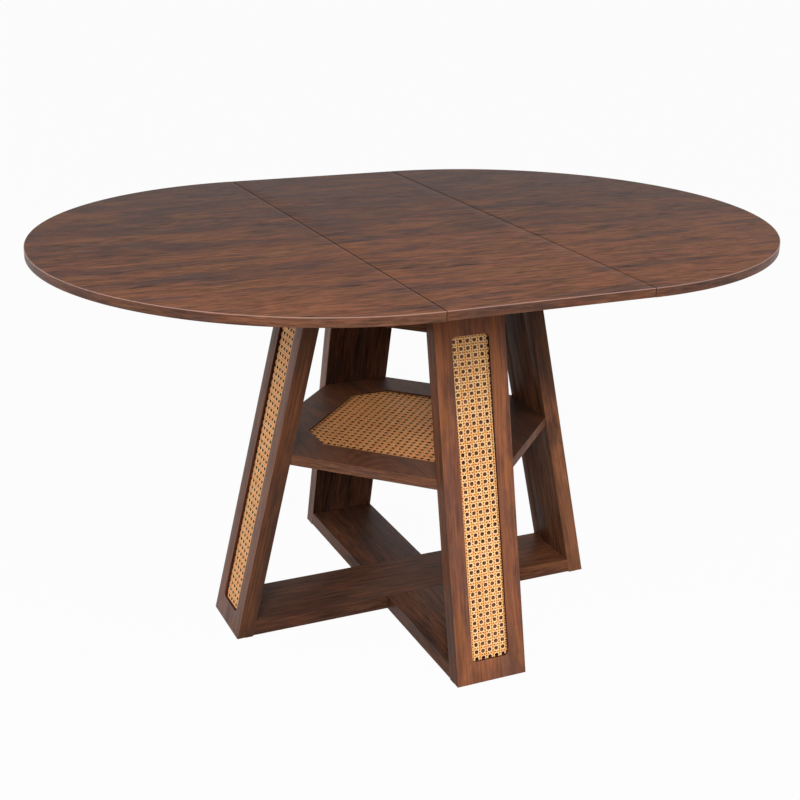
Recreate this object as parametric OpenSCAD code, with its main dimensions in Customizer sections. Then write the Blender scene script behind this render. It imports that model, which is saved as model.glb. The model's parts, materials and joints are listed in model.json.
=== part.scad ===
// Round extending dining table. Two half-round tops slide on wooden runners, a drop-in
// leaf lies between them, and four leaning legs with cane windows stand on a floor cross.
// X runs along the extension, Y along the seams and Z up. The origin is on the floor,
// at the centre of the base.

/* [Table top] */
// Height of the top surface above the floor
table_h = 760; // [720:1:800]
// Diameter of the round top when it is closed
round_d = 1040; // [1000:10:1200]
// Thickness of the top boards
top_t = 16; // [14:1:24]
// Radius of the rounded upper edge
edge_r = 2; // [1:0.5:5]
// Width of the drop-in leaf
leaf_w = 372; // [300:2:440]
// Gap at each seam
seam_gap = 1; // [0.3:0.1:1.5]
// Gap between the leaf and the runners that it lies on
leaf_lay = 0.3; // [0.2:0.1:0.5]

/* [Leaf battens] */
// Width of the battens under the leaf
batten_w = 40; // [30:1:50]
// Height of the battens under the leaf
batten_h = 18; // [14:1:24]
// Distance of each batten's end from the leaf's edge
batten_inset = 10; // [5:1:30]
// Gap between a middle batten and the runner beside it
batten_gap = 5; // [2:0.5:10]
// Distance of the outer battens from the long centre line
batten_out_y = 320; // [260:5:400]

/* [Runners] */
// Height of the runners that carry the halves
runner_h = 40; // [34:1:50]
// Width of the fixed runners
fixed_w = 30; // [26:1:40]
// Length of the fixed runners
fixed_len = 600; // [540:10:700]
// Width of the sliding runners
slide_w = 24; // [20:1:32]
// Length of the sliding runners
slide_len = 480; // [430:10:560]
// How far a sliding runner reaches past its seam
slide_reach = 130; // [100:5:150]
// Distance of each fixed runner from the long centre line
runner_y = 130; // [120:2:150]
// Height of the tongue on a sliding runner
tongue_h = 10; // [8:1:14]
// Depth of the tongue on a sliding runner
tongue_d = 7; // [5:0.5:8]
// Running clearance round the tongue and beside the runners
run_gap = 0.3; // [0.2:0.05:0.6]
// Gap between the sliding runners and the plate below them
under_gap = 2; // [1:0.5:4]
// Gap between the fixed runners and the halves above them
over_gap = 1.5; // [1:0.5:4]
// Width of the cleat at the round end of each half
cleat_w = 45; // [30:1:50]
// Height of the cleat at the round end of each half
cleat_h = 18; // [14:1:24]
// Distance from the sliding runners to the cleat
cleat_gap = 15; // [8:1:25]
// Distance of the cleat's ends from the round edge
cleat_inset = 120; // [60:5:150]

/* [Legs] */
// Span of the base over the legs' outer faces at the floor
leg_span = 768; // [740:2:860]
// Lean of the legs from upright, in degrees
leg_lean = 12.7; // [10:0.1:13.5]
// Width of the legs and of the floor cross
leg_w = 140; // [120:2:160]
// Thickness of each leg's outer frame board
frame_t = 16; // [13:1:20]
// Thickness of each leg's inner board
back_t = 15; // [14:1:20]
// Height of the glides under the legs
glide_h = 3; // [2:0.5:5]
// Diameter of the glides
glide_d = 18; // [14:1:22]
// Diameter of the nail on a glide
nail_d = 2.4; // [2:0.1:3]
// Length of the nail on a glide
nail_len = 12; // [8:1:16]
// Distance of the glides from the middle of the leg
glide_y = 48; // [30:1:50]

/* [Cane windows] */
// Width of the window in a leg
window_w = 73; // [60:1:86]
// Height of the window's lower end above the leg's foot
window_low = 40; // [35:1:80]
// Corner radius of the window
window_r = 8; // [4:1:14]
// Thickness of the lip that the cane bears on in a leg
lip_t = 6; // [4:0.5:8]
// Width of the rebate round a window
rebate_w = 10; // [7:0.5:14]
// Thickness of the cane webbing
cane_t = 2; // [1.5:0.1:3]
// Distance from hole to hole in the cane webbing
cane_pitch = 13.5; // [13:0.1:18]
// Diameter of a hole in the cane webbing
cane_hole_d = 6.5; // [5:0.1:8]
// Gap between the webbing's edge and its rebate
cane_gap = 0.3; // [0.2:0.1:0.6]

/* [Floor cross] */
// Height of the arms
arm_h = 28; // [24:1:36]
// Gap from the legs' feet up to the arms
arm_lift = 2; // [1:0.5:5]

/* [Shelf] */
// Height of the shelf's upper face above the floor
shelf_h = 366; // [320:2:420]
// Thickness of the shelf boards
shelf_t = 20; // [18:1:26]
// Width of the shelf's border round its cane
shelf_border = 75; // [70:1:90]
// Thickness of the lip that the cane bears on in the shelf
shelf_lip = 4; // [3:0.5:6]
// Distance from hole to hole in the shelf's webbing
shelf_pitch = 22; // [21:0.5:30]
// Diameter of a hole in the shelf's webbing
shelf_hole_d = 10; // [8:0.5:12]
// Thickness of the panel under the shelf's webbing
shelf_panel_t = 6; // [4:0.5:9]

/* [Top frame] */
// Height of the apron boards
apron_h = 64; // [50:1:80]
// Thickness of the apron boards
apron_t = 20; // [18:1:24]
// Thickness of the plate on the legs and aprons
plate_t = 18; // [16:1:24]

/* [Dowels and screws] */
// Diameter of the dowels
dowel_d = 8; // [6:0.5:9]
// Length of the dowels
dowel_len = 34; // [28:1:40]
// How far a dowel enters a leg's inner board
dowel_in = 9; // [6:0.5:10]
// Distance of the dowels from the middle of a leg
dowel_y = 42; // [30:1:46]
// Clearance round a dowel or a screw
fit_gap = 0.1; // [0.05:0.05:0.2]
// Diameter of a screw's shank
screw_d = 4; // [3:0.5:5]
// Diameter of a screw's head
head_d = 8; // [7:0.5:9]
// Height of a screw's head
head_h = 3; // [2:0.5:4]
// How far a screw enters the board that it holds
screw_bite = 10; // [7:0.5:11]

/* [Hidden] */

walnut = "#6f4838";
inner_walnut = "#543529";
plain_wood = "#b08a62";
cane_colour = "#d9a15c";
steel = "#9a9a9a";
pad_colour = "#2b2522";

// Directions of the legs, and of the quadrants between them
right_dir = 0;
back_dir = 90;
left_dir = 180;
front_dir = 270;
eps = 0.01;
root2 = sqrt(2);

// The halves lie on their runners, the runners on the plate, and the plate on the legs
half_r = round_d / 2;
open_x = leaf_w / 2 + seam_gap;
top_under = table_h - top_t;
slide_z = top_under - runner_h;
plate_z1 = slide_z - under_gap;
plate_z0 = plate_z1 - plate_t;
tongue_z = slide_z + runner_h / 2;
leaf_z0 = top_under + leaf_lay;
leaf_t = top_t - leaf_lay;

// A leg leans inwards, so its faces move in by leg_slope for each unit of height
leg_t = frame_t + back_t;
leg_slope = tan(leg_lean);
function face_x(z, depth) = leg_span / 2 - leg_slope * z - depth / cos(leg_lean);
function inner_x(z) = face_x(z, leg_t);

apron_z0 = plate_z0 - apron_h;
apron_c = inner_x(plate_z0) + leg_w / 2;
plate_x = face_x(plate_z0, 0);

// Windows are measured along the leaning face
window_s0 = (glide_h + window_low) / cos(leg_lean);
window_s1 = apron_z0 / cos(leg_lean);
window_len = window_s1 - window_s0;
window_mid = (window_s0 + window_s1) / 2;

// The shelf is an octagon: long sides between the legs, short sides against them
shelf_z0 = shelf_h - shelf_t;
shelf_c = inner_x(shelf_h) + leg_w / 2;
shelf_far = inner_x(shelf_z0) + 1;
open_half = inner_x(shelf_h) - shelf_border;
open_c = shelf_c - shelf_border * root2;
shelf_cane_z = shelf_h - shelf_lip - cane_t;

arm_z0 = glide_h + arm_lift;
arm_z1 = arm_z0 + arm_h;
arm_mid = (arm_z0 + arm_z1) / 2;

hole_d = dowel_d + 2 * fit_gap;
slide_out = slide_len - slide_reach;
arc_step = 15;
hole_fn = 32;

// Flat shapes

// Half of a board's section with its upper edge rounded, from 0 out to reach
function rounded_end(reach, t) = concat(
    [[0, 0], [reach, 0]],
    [for (a = [0 : arc_step : 90]) [reach - edge_r + edge_r * cos(a), t - edge_r + edge_r * sin(a)]],
    [[0, t]]
);

// Rectangle with round corners, centred on the origin
function round_rect(w, l, r) = [
    for (q = [[1, 1, 0], [-1, 1, 90], [-1, -1, 180], [1, -1, 270]], a = [0 : arc_step : 90])
        [q[0] * (w / 2 - r) + r * cos(q[2] + a), q[1] * (l / 2 - r) + r * sin(q[2] + a)]
];

// Octagon with flats at half on the axes, cut by the lines |x| + |y| = c
function octagon(half, c) = [
    for (q = [0 : 90 : 270], s = [-1, 1])
        [half * cos(q) - s * (c - half) * sin(q), half * sin(q) + s * (c - half) * cos(q)]
];

// Square grid of round holes that lie wholly inside w by l
module hole_grid(w, l, pitch, d) {
    cols = floor((w - d) / pitch);
    rows = floor((l - d) / pitch);
    for (i = [0 : cols], j = [0 : rows]) {
        translate([(i - cols / 2) * pitch, (j - rows / 2) * pitch])
            circle(d = d, $fn = hole_fn);
    }
}

// Placing

// Stands children on a leaning outer face: x outwards, y across, z up the slope
module on_leg() {
    translate([leg_span / 2, 0, 0])
        rotate([0, -leg_lean, 0])
            children();
}

// Lays a flat shape on a leaning face, so that it reaches from one depth to another
module leg_layer(from, to) {
    on_leg()
        translate([-to, 0, window_mid])
            rotate([90, 0, 90])
                linear_extrude(to - from)
                    children();
}

// Board that leans with the legs, from one depth to another and between two heights
module leaning_board(from, to, z0, z1) {
    rotate([90, 0, 0])
        linear_extrude(leg_w, center = true)
            polygon([
                [face_x(z0, from), z0],
                [face_x(z1, from), z1],
                [face_x(z1, to), z1],
                [face_x(z0, to), z0]
            ]);
}

// Space between the inner faces of two opposite legs, which lean together
module between_legs(z0, z1) {
    wide = leg_span;
    rotate([90, 0, 0])
        linear_extrude(wide, center = true)
            polygon([
                [-inner_x(z0), z0],
                [inner_x(z0), z0],
                [inner_x(z1), z1],
                [-inner_x(z1), z1]
            ]);
}

// Cylinder along X from x0 to x1
module rod_x(x0, x1, d) {
    translate([x0, 0, 0])
        rotate([0, 90, 0])
            cylinder(h = x1 - x0, d = d, $fn = hole_fn);
}

// Screw with its head's bearing face at the origin and its point up
module screw(len) {
    translate([0, 0, -head_h])
        cylinder(h = head_h, d = head_d, $fn = hole_fn);
    cylinder(h = len, d = screw_d, $fn = hole_fn);
}

// Hole for that screw, with a pocket for the head that opens downwards
module screw_hole(len, pocket) {
    translate([0, 0, -pocket])
        cylinder(h = pocket, d = head_d + 1, $fn = hole_fn);
    cylinder(h = len + fit_gap, d = screw_d + 2 * fit_gap, $fn = hole_fn);
}

// Dowels

// One dowel across a leg's inner face at height z, along X
module leg_dowel(z, d, slack) {
    x = inner_x(z);
    translate([0, 0, z])
        rod_x(x - (dowel_len - dowel_in) - slack, x + dowel_in + slack, d);
}

// The two dowels of one leg at height z
module leg_dowel_pair(z, d, slack) {
    for (s = [-1, 1]) {
        translate([0, s * dowel_y, 0])
            leg_dowel(z, d, slack);
    }
}

// Dowels between a short floor arm and the long one, on the arm that points along X
module cross_dowel_pair(d, slack) {
    for (s = [-1, 1]) {
        translate([leg_w / 2, s * dowel_y, arm_mid])
            rod_x(-dowel_len / 2 - slack, dowel_len / 2 + slack, d);
    }
}

// Dowels in both ends of the apron of the first quadrant, along the apron
module apron_dowel_set(d, slack) {
    mid_c = apron_c - apron_t * root2 / 2;
    for (m = [0, 1], k = [0.3, 0.7]) {
        z = apron_z0 + k * apron_h;
        mirror([m, -m, 0])
            translate([inner_x(z), mid_c - inner_x(z), z])
                rotate([0, 0, -45])
                    rod_x(-(dowel_len - dowel_in) - slack, dowel_in + slack, d);
    }
}

// All dowel holes of the inner board of the leg that points along X
module leg_dowel_holes() {
    leg_dowel_pair(arm_mid, hole_d, fit_gap);
    leg_dowel_pair(shelf_z0 + shelf_t / 2, hole_d, fit_gap);
    apron_dowel_set(hole_d, fit_gap);
    rotate([0, 0, -90])
        apron_dowel_set(hole_d, fit_gap);
}

// Legs

// Outer board with the window, and a rebate behind it for the webbing
module leg_frame() {
    color(walnut)
        difference() {
            leaning_board(0, frame_t, glide_h, plate_z0);
            leg_layer(-1, frame_t + 1)
                polygon(round_rect(window_w, window_len, window_r));
            leg_layer(lip_t, frame_t + 1)
                polygon(round_rect(window_w + 2 * rebate_w, window_len + 2 * rebate_w, window_r));
        }
}

// Inner board, plain on the side that faces the shelf
module leg_back() {
    color(inner_walnut)
        difference() {
            leaning_board(frame_t, leg_t, glide_h, plate_z0);
            leg_dowel_holes();
            glide_nails(nail_d + 2 * fit_gap, fit_gap);
        }
}

// Webbing with its round holes
module leg_cane() {
    color(cane_colour)
        leg_layer(lip_t, lip_t + cane_t)
            difference() {
                polygon(round_rect(
                    window_w + 2 * (rebate_w - cane_gap),
                    window_len + 2 * (rebate_w - cane_gap),
                    window_r
                ));
                hole_grid(window_w, window_len, cane_pitch, cane_hole_d);
            }
}

// Bead that presses the webbing against the lip
module leg_bead() {
    color(plain_wood)
        leg_layer(lip_t + cane_t, frame_t)
            difference() {
                polygon(round_rect(
                    window_w + 2 * (rebate_w - cane_gap),
                    window_len + 2 * (rebate_w - cane_gap),
                    window_r
                ));
                polygon(round_rect(window_w, window_len, window_r));
            }
}

// Glides of the leg that points along X, under its inner board
glide_x = inner_x(glide_h) + glide_d / 2 + 1;

module glide_nails(d, slack) {
    for (s = [-1, 1]) {
        translate([glide_x, s * glide_y, glide_h])
            cylinder(h = nail_len + slack, d = d, $fn = hole_fn);
    }
}

module leg_glides() {
    for (s = [-1, 1]) {
        translate([glide_x, s * glide_y, 0])
            union() {
                cylinder(h = glide_h, d1 = glide_d - 2, d2 = glide_d, $fn = hole_fn);
                cylinder(h = glide_h + nail_len, d = nail_d, $fn = hole_fn);
            }
    }
}

module foot_glides() {
    color(pad_colour)
        for (a = [right_dir, back_dir, left_dir, front_dir]) {
            rotate([0, 0, a])
                leg_glides();
        }
}

// Floor cross

// Arm that runs from the left leg to the right leg in one piece
module long_floor_arm() {
    color(walnut)
        difference() {
            intersection() {
                between_legs(arm_z0, arm_z1);
                cube([leg_span, leg_w, 3 * arm_z1], center = true);
            }
            for (a = [right_dir, left_dir]) {
                rotate([0, 0, a])
                    leg_dowel_pair(arm_mid, hole_d, fit_gap);
            }
            for (a = [front_dir, back_dir]) {
                rotate([0, 0, a])
                    cross_dowel_pair(hole_d, fit_gap);
            }
        }
}

// Arm from the long one out to a leg, along X
module short_floor_arm() {
    color(walnut)
        difference() {
            rotate([90, 0, 0])
                linear_extrude(leg_w, center = true)
                    polygon([
                        [leg_w / 2, arm_z0],
                        [inner_x(arm_z0), arm_z0],
                        [inner_x(arm_z1), arm_z1],
                        [leg_w / 2, arm_z1]
                    ]);
            leg_dowel_pair(arm_mid, hole_d, fit_gap);
            cross_dowel_pair(hole_d, fit_gap);
        }
}

module floor_dowels() {
    color(plain_wood) {
        for (a = [right_dir, back_dir, left_dir, front_dir]) {
            rotate([0, 0, a])
                leg_dowel_pair(arm_mid, dowel_d, 0);
        }
        for (a = [front_dir, back_dir]) {
            rotate([0, 0, a])
                cross_dowel_pair(dowel_d, 0);
        }
    }
}

// Shelf

// One board, cut to the leaning legs, with the cane's window and a rebate below it
module shelf_board() {
    color(walnut)
        difference() {
            intersection() {
                translate([0, 0, shelf_z0])
                    linear_extrude(shelf_t)
                        polygon(octagon(shelf_far, shelf_c));
                between_legs(shelf_z0, shelf_h);
                rotate([0, 0, 90])
                    between_legs(shelf_z0, shelf_h);
            }
            translate([0, 0, shelf_z0 - 1])
                linear_extrude(shelf_t + 2)
                    polygon(octagon(open_half, open_c));
            translate([0, 0, shelf_z0 - 1])
                linear_extrude(shelf_t - shelf_lip + 1)
                    polygon(octagon(open_half + rebate_w, open_c + rebate_w * root2));
            for (a = [right_dir, back_dir, left_dir, front_dir]) {
                rotate([0, 0, a])
                    leg_dowel_pair(shelf_z0 + shelf_t / 2, hole_d, fit_gap);
            }
        }
}

// Outline of what lies in the rebate
module shelf_inset() {
    reach = rebate_w - cane_gap;
    polygon(octagon(open_half + reach, open_c + reach * root2));
}

module shelf_cane() {
    color(cane_colour)
        translate([0, 0, shelf_cane_z])
            linear_extrude(cane_t)
                difference() {
                    shelf_inset();
                    intersection() {
                        hole_grid(2 * open_half, 2 * open_half, shelf_pitch, shelf_hole_d);
                        polygon(octagon(open_half - cane_gap, open_c - shelf_hole_d));
                    }
                }
}

// Dark panel that closes the window under the webbing
module shelf_panel() {
    color(inner_walnut)
        translate([0, 0, shelf_cane_z - shelf_panel_t])
            linear_extrude(shelf_panel_t)
                shelf_inset();
}

module shelf_dowels() {
    color(plain_wood)
        for (a = [right_dir, back_dir, left_dir, front_dir]) {
            rotate([0, 0, a])
                leg_dowel_pair(shelf_z0 + shelf_t / 2, dowel_d, 0);
        }
}

// Top frame

// Places of the two plate screws over the first quadrant's apron
plate_screw_c = apron_c - apron_t * root2 / 2;
plate_screw_off = 0.16 * plate_screw_c;
plate_pocket = head_h + 1;
plate_bite = 3 * screw_bite;

module plate_screw_places() {
    for (s = [-1, 1]) {
        translate([plate_screw_c / 2 + s * plate_screw_off, plate_screw_c / 2 - s * plate_screw_off,
            plate_z1 - plate_pocket])
            mirror([0, 0, 1])
                children();
    }
}

// Apron of the first quadrant, between the inner corners of two legs
module apron() {
    far = inner_x(apron_z0) + 1;
    inner_c = apron_c - apron_t * root2;
    color(inner_walnut)
        difference() {
            intersection() {
                translate([0, 0, apron_z0])
                    linear_extrude(apron_h)
                        polygon([
                            [far, apron_c - far],
                            [apron_c - far, far],
                            [inner_c - far, far],
                            [far, inner_c - far]
                        ]);
                between_legs(apron_z0, plate_z0);
                rotate([0, 0, 90])
                    between_legs(apron_z0, plate_z0);
            }
            apron_dowel_set(hole_d, fit_gap);
            plate_screw_places()
                screw_hole(plate_t - plate_pocket + plate_bite, plate_pocket);
        }
}

module apron_dowels() {
    color(plain_wood)
        for (a = [right_dir, back_dir, left_dir, front_dir]) {
            rotate([0, 0, a])
                apron_dowel_set(dowel_d, 0);
        }
}

// Places of the screws in the fixed runners, on the front one
fixed_screw_x = [-0.25 * fixed_len, 0, 0.25 * fixed_len];
fixed_top = top_under - over_gap;
fixed_pocket = runner_h / 3;
fixed_screw_len = fixed_top - fixed_pocket - plate_z1 + screw_bite;

module fixed_screw_places() {
    for (x = fixed_screw_x) {
        translate([x, -runner_y, fixed_top - fixed_pocket])
            mirror([0, 0, 1])
                children();
    }
}

// Octagonal plate on the legs and aprons, under the fixed runners
module top_plate() {
    color(inner_walnut)
        difference() {
            translate([0, 0, plate_z0])
                linear_extrude(plate_t)
                    polygon(octagon(plate_x, plate_x + leg_w / 2));
            for (a = [right_dir, back_dir, left_dir, front_dir]) {
                rotate([0, 0, a])
                    plate_screw_places()
                        screw_hole(plate_t, plate_pocket + eps);
            }
            for (a = [0, 180]) {
                rotate([0, 0, a])
                    fixed_screw_places()
                        screw_hole(fixed_screw_len, fixed_pocket);
            }
        }
}

module plate_screws() {
    color(steel)
        for (a = [right_dir, back_dir, left_dir, front_dir]) {
            rotate([0, 0, a])
                plate_screw_places()
                    screw(plate_t - plate_pocket + plate_bite);
        }
}

// Runners

// Section of the front fixed runner, with a groove in each side
module fixed_section() {
    difference() {
        translate([-fixed_w / 2, plate_z1])
            square([fixed_w, fixed_top - plate_z1]);
        for (s = [-1, 1]) {
            translate([s * fixed_w / 2, tongue_z])
                square([2 * (tongue_d + run_gap), tongue_h + 2 * run_gap], center = true);
        }
    }
}

module front_fixed_runner() {
    color(plain_wood)
        difference() {
            translate([0, -runner_y, 0])
                rotate([90, 0, 90])
                    linear_extrude(fixed_len, center = true)
                        fixed_section();
            fixed_screw_places()
                screw_hole(fixed_screw_len, fixed_pocket + eps);
        }
}

module fixed_runner_screws() {
    color(steel)
        for (a = [0, 180]) {
            rotate([0, 0, a])
                fixed_screw_places()
                    screw(fixed_screw_len);
        }
}

// Distance from a fixed runner's middle to the middle of the sliding runner beside it
slide_off = fixed_w / 2 + run_gap + slide_w / 2;
slide_pocket = 0.4 * runner_h;
slide_screw_len = runner_h - slide_pocket + screw_bite;
slide_screw_x = [0.08 * slide_out, 0.5 * slide_out, 0.92 * slide_out];

// Sliding runner of the left half, beside the fixed runner at y, on the side given
module slide_runner(y, side) {
    color(plain_wood)
        difference() {
            translate([-open_x - slide_out, y + side * slide_off, 0])
                rotate([90, 0, 90])
                    linear_extrude(slide_len) {
                        translate([-slide_w / 2, slide_z])
                            square([slide_w, runner_h]);
                        translate([-side * (slide_w / 2 + (tongue_d - 1) / 2), tongue_z])
                            square([tongue_d + 1, tongue_h], center = true);
                    }
            slide_screw_places(y, side)
                screw_hole(slide_screw_len, slide_pocket + eps);
        }
}

module slide_screw_places(y, side) {
    for (x = slide_screw_x) {
        translate([-open_x - x, y + side * slide_off, slide_z + slide_pocket])
            children();
    }
}

// Halves: the right one is the left one turned by half a turn

// Cleat under the round end of the left half
cleat_x = slide_out + cleat_gap;
cleat_half = sqrt(half_r * half_r - pow(cleat_x + cleat_w, 2)) - cleat_inset;
cleat_pocket = cleat_h / 3;

module cleat_screw_places() {
    for (k = [-0.8, 0, 0.8]) {
        translate([-open_x - cleat_x - cleat_w / 2, k * cleat_half, top_under - cleat_h + cleat_pocket])
            children();
    }
}

module half_screw_holes() {
    slide_screw_places(-runner_y, -1)
        screw_hole(slide_screw_len, eps);
    slide_screw_places(runner_y, -1)
        screw_hole(slide_screw_len, eps);
    cleat_screw_places()
        screw_hole(cleat_h - cleat_pocket + screw_bite, eps);
}

module half_top() {
    color(walnut)
        difference() {
            translate([-open_x, 0, top_under])
                rotate([0, 0, 90])
                    rotate_extrude(angle = 180, $fn = 240)
                        polygon(rounded_end(half_r, top_t));
            half_screw_holes();
        }
}

module half_cleat() {
    color(plain_wood)
        difference() {
            translate([-open_x - cleat_x - cleat_w, -cleat_half, top_under - cleat_h])
                cube([cleat_w, 2 * cleat_half, cleat_h]);
            cleat_screw_places()
                screw_hole(cleat_h - cleat_pocket + screw_bite, cleat_pocket + eps);
        }
}

module half_screws() {
    color(steel) {
        slide_screw_places(-runner_y, -1)
            screw(slide_screw_len);
        slide_screw_places(runner_y, -1)
            screw(slide_screw_len);
        cleat_screw_places()
            screw(cleat_h - cleat_pocket + screw_bite);
    }
}

// Leaf
batten_len = leaf_w - 2 * batten_inset;
inner_batten_y = runner_y - slide_off - slide_w / 2 - batten_gap - batten_w / 2;
batten_pocket = batten_h / 3;
leaf_screw_len = batten_h - batten_pocket + screw_bite;

module leaf_screw_places(y) {
    for (k = [-0.4, 0, 0.4]) {
        translate([k * batten_len, y, leaf_z0 - batten_h + batten_pocket])
            children();
    }
}

module leaf_panel() {
    color(walnut)
        difference() {
            translate([0, 0, leaf_z0])
                rotate([90, 0, 90])
                    linear_extrude(leaf_w, center = true)
                        union() {
                            polygon(rounded_end(half_r, leaf_t));
                            mirror([1, 0])
                                polygon(rounded_end(half_r, leaf_t));
                        }
            for (y = [-batten_out_y, -inner_batten_y, inner_batten_y, batten_out_y]) {
                leaf_screw_places(y)
                    screw_hole(leaf_screw_len, eps);
            }
        }
}

module leaf_batten(y) {
    color(plain_wood)
        difference() {
            translate([-batten_len / 2, y - batten_w / 2, leaf_z0 - batten_h])
                cube([batten_len, batten_w, batten_h]);
            leaf_screw_places(y)
                screw_hole(leaf_screw_len, batten_pocket + eps);
        }
}

module leaf_outer_battens() {
    leaf_batten(-batten_out_y);
    leaf_batten(batten_out_y);
}

module leaf_screws() {
    color(steel)
        for (y = [-batten_out_y, -inner_batten_y, inner_batten_y, batten_out_y]) {
            leaf_screw_places(y)
                screw(leaf_screw_len);
        }
}

// Parts that repeat, turned to their places
module turned(a) {
    rotate([0, 0, a])
        children();
}

half_top();  // left_half_top
slide_runner(-runner_y, -1);  // left_front_runner
slide_runner(runner_y, -1);  // left_back_runner
half_cleat();  // left_cleat
half_screws();  // left_half_screws
turned(180) half_top();  // right_half_top
turned(180) slide_runner(runner_y, -1);  // right_front_runner
turned(180) slide_runner(-runner_y, -1);  // right_back_runner
turned(180) half_cleat();  // right_cleat
turned(180) half_screws();  // right_half_screws
leaf_panel();
leaf_batten(-inner_batten_y);  // leaf_front_batten
leaf_batten(inner_batten_y);  // leaf_back_batten
leaf_outer_battens();
leaf_screws();
front_fixed_runner();
turned(180) front_fixed_runner();  // back_fixed_runner
fixed_runner_screws();
top_plate();
plate_screws();
turned(left_dir) apron();  // front_left_apron
turned(front_dir) apron();  // front_right_apron
turned(back_dir) apron();  // back_left_apron
turned(right_dir) apron();  // back_right_apron
apron_dowels();
turned(left_dir) leg_frame();  // left_leg_frame
turned(left_dir) leg_back();  // left_leg_back
turned(left_dir) leg_cane();  // left_leg_cane
turned(left_dir) leg_bead();  // left_leg_bead
turned(front_dir) leg_frame();  // front_leg_frame
turned(front_dir) leg_back();  // front_leg_back
turned(front_dir) leg_cane();  // front_leg_cane
turned(front_dir) leg_bead();  // front_leg_bead
turned(right_dir) leg_frame();  // right_leg_frame
turned(right_dir) leg_back();  // right_leg_back
turned(right_dir) leg_cane();  // right_leg_cane
turned(right_dir) leg_bead();  // right_leg_bead
turned(back_dir) leg_frame();  // back_leg_frame
turned(back_dir) leg_back();  // back_leg_back
turned(back_dir) leg_cane();  // back_leg_cane
turned(back_dir) leg_bead();  // back_leg_bead
shelf_board();
shelf_cane();
shelf_panel();
shelf_dowels();
long_floor_arm();
turned(front_dir) short_floor_arm();  // front_floor_arm
turned(back_dir) short_floor_arm();  // back_floor_arm
floor_dowels();
foot_glides();
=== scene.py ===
# Looks of a round extending dining table with four leaning caned legs.
# Everything is in metres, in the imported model's own frame.
import json
import math
import bmesh
import bpy
import numpy as np
from mathutils import Matrix, Vector

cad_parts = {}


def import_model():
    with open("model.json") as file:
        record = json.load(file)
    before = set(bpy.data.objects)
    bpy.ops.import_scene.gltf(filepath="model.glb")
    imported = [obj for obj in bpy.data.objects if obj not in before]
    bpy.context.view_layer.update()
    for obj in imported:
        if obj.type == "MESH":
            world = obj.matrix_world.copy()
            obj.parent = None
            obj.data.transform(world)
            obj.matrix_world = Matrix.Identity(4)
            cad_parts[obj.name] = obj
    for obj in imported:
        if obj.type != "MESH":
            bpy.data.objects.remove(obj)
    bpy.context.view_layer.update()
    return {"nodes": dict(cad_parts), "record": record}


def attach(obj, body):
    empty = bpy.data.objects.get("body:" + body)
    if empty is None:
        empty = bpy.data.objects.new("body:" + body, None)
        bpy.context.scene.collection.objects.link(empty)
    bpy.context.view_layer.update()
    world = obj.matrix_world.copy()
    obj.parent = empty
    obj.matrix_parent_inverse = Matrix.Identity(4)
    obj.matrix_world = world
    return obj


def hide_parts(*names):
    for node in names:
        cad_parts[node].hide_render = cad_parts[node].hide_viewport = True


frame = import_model()
nodes = frame["nodes"]
print("frame loaded:", len(nodes), "nodes")

# The sizes that the looks share with the construction
base = {
    "legSpan": 0.768,    # over the outer faces at the floor
    "lean": math.radians(12.7),
    "legWidth": 0.140,
    "legThick": 0.031,
    "shelfTop": 0.366,
    "shelfThick": 0.020,
    "border": 0.075,     # of the shelf, round its webbing
}
turns = {"right": 0.0, "back": math.pi / 2, "left": math.pi, "front": 1.5 * math.pi}


def innerFace(z):
    # Distance from the middle to a leg's inner face at height z
    return base["legSpan"] / 2 - math.tan(base["lean"]) * z - base["legThick"] / math.cos(base["lean"])


class Wire:
    # A socket in a material's tree. Arithmetic on it adds Math nodes.
    def __init__(self, finish, socket):
        self.finish = finish
        self.socket = socket

    def calc(self, operation, *values, **more):
        sockets = {i: v for i, v in enumerate((self,) + values)}
        return self.finish.node("ShaderNodeMath", {"operation": operation, **more}, sockets)

    def __add__(self, other):
        return self.calc("ADD", other)

    def __radd__(self, other):
        return self.calc("ADD", other)

    def __sub__(self, other):
        return self.calc("SUBTRACT", other)

    def __rsub__(self, other):
        return self.finish.node("ShaderNodeMath", {"operation": "SUBTRACT"}, {0: other, 1: self})

    def __mul__(self, other):
        return self.calc("MULTIPLY", other)

    def __rmul__(self, other):
        return self.calc("MULTIPLY", other)

    def __truediv__(self, other):
        return self.calc("DIVIDE", other)

    def __pow__(self, other):
        return self.calc("POWER", other)

    def clamped(self):
        return self.calc("ADD", 0.0, use_clamp=True)


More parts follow.
